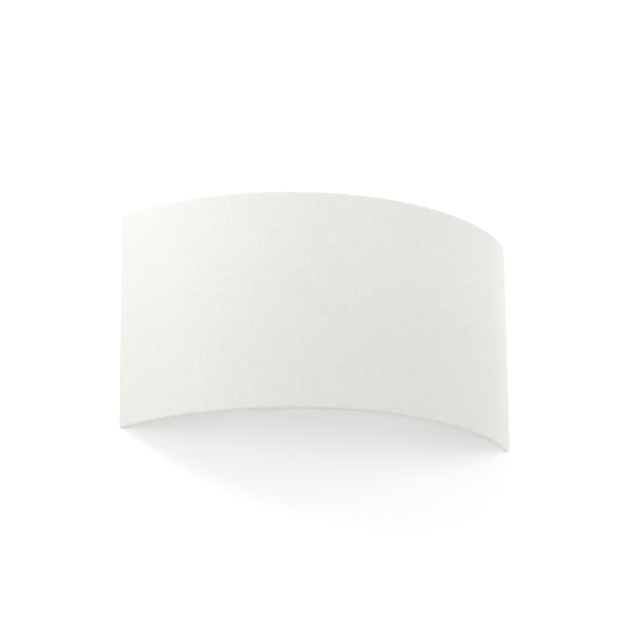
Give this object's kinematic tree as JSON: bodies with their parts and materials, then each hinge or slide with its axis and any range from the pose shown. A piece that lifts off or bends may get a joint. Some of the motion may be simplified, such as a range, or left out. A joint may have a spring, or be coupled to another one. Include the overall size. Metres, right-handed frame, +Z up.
{
  "type": "fabric shade wall light",
  "caption": "Half-round wall light: a fabric shade on a wire frame hangs on a steel wall tray with upright lamp holders and opal bulbs.",
  "frame": {"origin": "middle of the wall bracket's back face, on the wall plane at half the shade's height", "axes": "+X along the wall to the viewer's right, +Y into the wall, +Z up"},
  "size_m": [0.36, 0.1, 0.2],
  "materials": {
    "shade_textile": "fine woven off-white cotton and linen",
    "shade_liner": "matt white stiff laminate",
    "white_wire": "white coated wire",
    "white_steel": "white powder coat",
    "zinc_steel": "bright zinc plate",
    "aluminium": "plain",
    "brass": "plain turned brass",
    "block_plastic": "natural white",
    "live_insulation": "brown insulation",
    "neutral_insulation": "blue insulation",
    "earth_insulation": "green and yellow insulation",
    "lead_sheath": "white sheath",
    "grommet_rubber": "black rubber",
    "holder_plastic": "white moulded",
    "holder_ceramic": "unglazed steatite",
    "tinned_contact": "tinned",
    "black_glass": "black insulating glass",
    "shell_metal": "nickel plated",
    "collar_plastic": "white moulded",
    "light_board": "white circuit board",
    "opal_dome": "opal"
  },
  "bodies": {
    "wall_unit": {"mounting_bracket": "zinc_steel", "wall_tray": "white_steel", "support_studs": "zinc_steel", "stud_lock_nuts": "zinc_steel", "tray_washers": "zinc_steel", "tray_nuts": "zinc_steel", "terminal_block": "block_plastic", "terminal_tubes": "brass", "terminal_clamp_screws": "zinc_steel", "block_fixing_screw": "zinc_steel", "earth_washer": "zinc_steel", "earth_lug": "brass", "earth_screw": "brass", "live_wires": "live_insulation", "neutral_wires": "neutral_insulation", "earth_wire": "earth_insulation", "left_lamp_lead": "lead_sheath", "right_lamp_lead": "lead_sheath", "lead_grommets": "grommet_rubber", "arm_rivets": "aluminium", "threaded_nipples": "brass", "nipple_washers": "zinc_steel", "nipple_nuts": "zinc_steel", "left_lamp_arm": "white_steel", "left_holder_cap": "holder_plastic", "left_holder_insert": "holder_ceramic", "left_holder_skirt": "holder_plastic", "left_screw_sleeve": "brass", "right_lamp_arm": "white_steel", "right_holder_cap": "holder_plastic", "right_holder_insert": "holder_ceramic", "right_holder_skirt": "holder_plastic", "right_screw_sleeve": "brass", "centre_contacts": "brass"},
    "shade": {"shade_fabric": "shade_textile", "shade_liner": "shade_liner", "upper_frame_wire": "white_wire", "lower_frame_wire": "white_wire", "left_frame_upright": "white_wire", "right_frame_upright": "white_wire", "carrier_strap": "white_steel"},
    "left_thumb_nut": {"left_thumb_nut": "brass"},
    "right_thumb_nut": {"right_thumb_nut": "brass"},
    "left_bulb": {"left_bulb_contact": "tinned_contact", "left_bulb_insulator": "black_glass", "left_bulb_screw_shell": "shell_metal", "left_bulb_collar": "collar_plastic", "left_bulb_light_board": "light_board", "left_bulb_dome": "opal_dome"},
    "right_bulb": {"right_bulb_contact": "tinned_contact", "right_bulb_insulator": "black_glass", "right_bulb_screw_shell": "shell_metal", "right_bulb_collar": "collar_plastic", "right_bulb_light_board": "light_board", "right_bulb_dome": "opal_dome"}
  },
  "joints": [
    {"name": "shade_lift", "type": "slide", "parent": "wall_unit", "child": "shade", "axis": [0, 0, 1], "range_m": [0, 0.17]},
    {"name": "left_thumb_nut_turn", "type": "hinge", "parent": "wall_unit", "child": "left_thumb_nut", "pos_m": [-0.05, -0.0279, 0], "axis": [0, -1, 0], "range_deg": [0, 720]},
    {"name": "right_thumb_nut_turn", "type": "hinge", "parent": "wall_unit", "child": "right_thumb_nut", "pos_m": [0.05, -0.0279, 0], "axis": [0, -1, 0], "range_deg": [0, 720]},
    {"name": "left_bulb_unscrew", "type": "hinge", "parent": "wall_unit", "child": "left_bulb", "pos_m": [-0.08, -0.048, -0.006], "axis": [0, 0, 1], "range_deg": [0, 1080]},
    {"name": "right_bulb_unscrew", "type": "hinge", "parent": "wall_unit", "child": "right_bulb", "pos_m": [0.08, -0.048, -0.006], "axis": [0, 0, 1], "range_deg": [0, 1080]}
  ]
}
